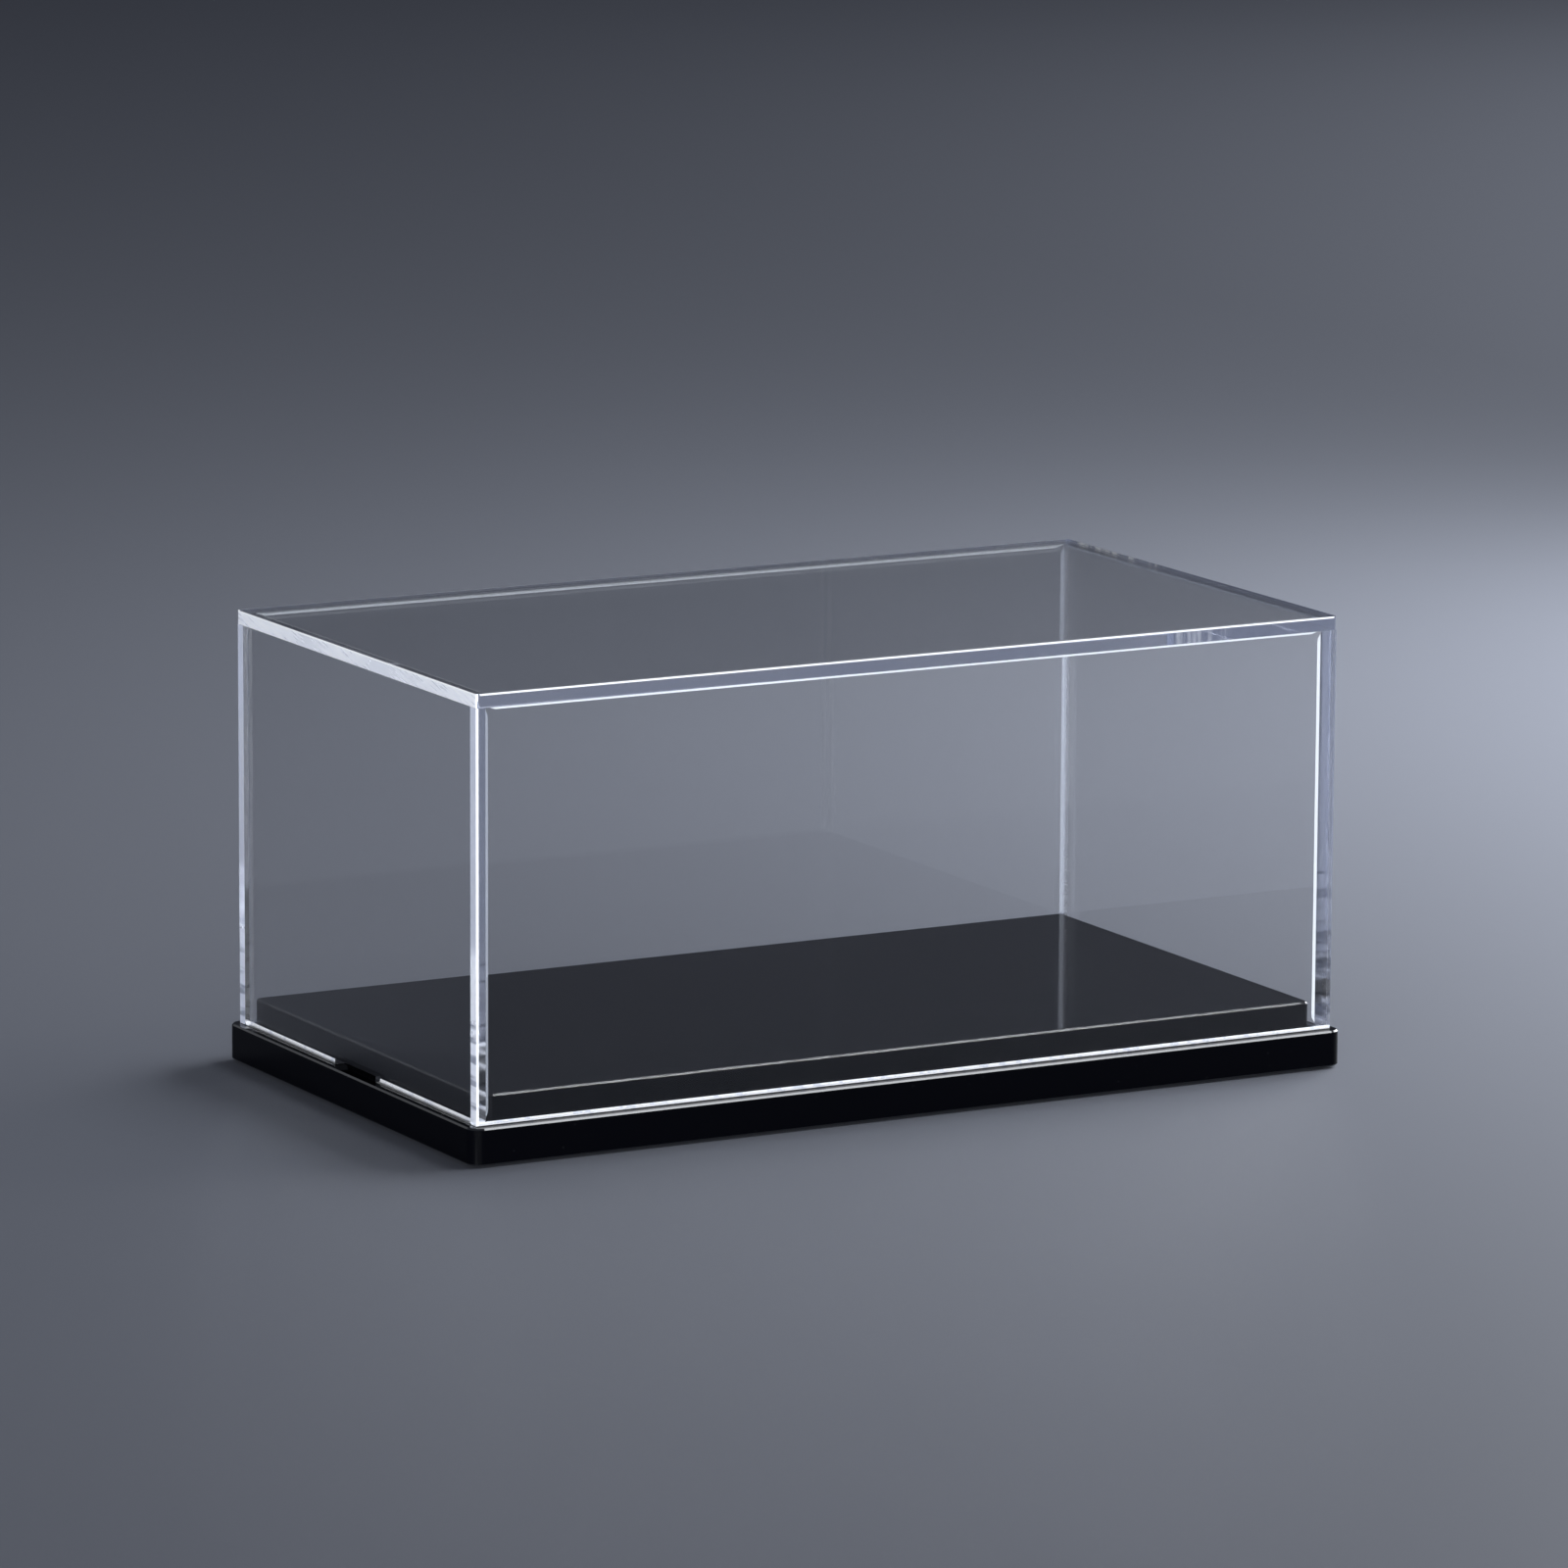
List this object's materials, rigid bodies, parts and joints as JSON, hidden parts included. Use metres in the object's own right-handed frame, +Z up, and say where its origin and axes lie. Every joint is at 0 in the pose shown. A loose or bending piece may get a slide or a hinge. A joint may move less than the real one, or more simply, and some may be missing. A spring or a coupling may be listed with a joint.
{
  "type": "acrylic display case",
  "caption": "Rectangular clear acrylic cover of cemented sheets that lifts off a black gloss base plate with a raised plinth, for showing a model or collectible dust-free.",
  "frame": {"origin": "on the surface the case stands on, under the middle of the base plate", "axes": "+X along the case to the right as the picture's long front face is seen, -Y out of the long front face, +Z up"},
  "size_m": [0.214, 0.12, 0.1006],
  "materials": {
    "clear_acrylic": "polished",
    "cured_cement": "gloss",
    "black_acrylic": "polished",
    "screw_steel": "satin",
    "pad_silicone": "matte"
  },
  "bodies": {
    "base": {"base_plate": "black_acrylic", "plinth": "black_acrylic", "plinth_screw_front_left": "screw_steel", "plinth_screw_front_right": "screw_steel", "plinth_screw_back_right": "screw_steel", "plinth_screw_back_left": "screw_steel", "foot_pad_front_left": "pad_silicone", "foot_pad_front_right": "pad_silicone", "foot_pad_back_right": "pad_silicone", "foot_pad_back_left": "pad_silicone"},
    "cover": {"top_panel": "clear_acrylic", "front_panel": "clear_acrylic", "back_panel": "clear_acrylic", "left_panel": "clear_acrylic", "right_panel": "clear_acrylic", "top_front_bead": "cured_cement", "top_right_bead": "cured_cement", "top_back_bead": "cured_cement", "top_left_bead": "cured_cement", "front_left_bead": "cured_cement", "front_right_bead": "cured_cement", "back_right_bead": "cured_cement", "back_left_bead": "cured_cement"}
  },
  "joints": [
    {"name": "cover_lift", "type": "slide", "parent": "base", "child": "cover", "axis": [0, 0, 1], "range_m": [0, 0.1]}
  ]
}
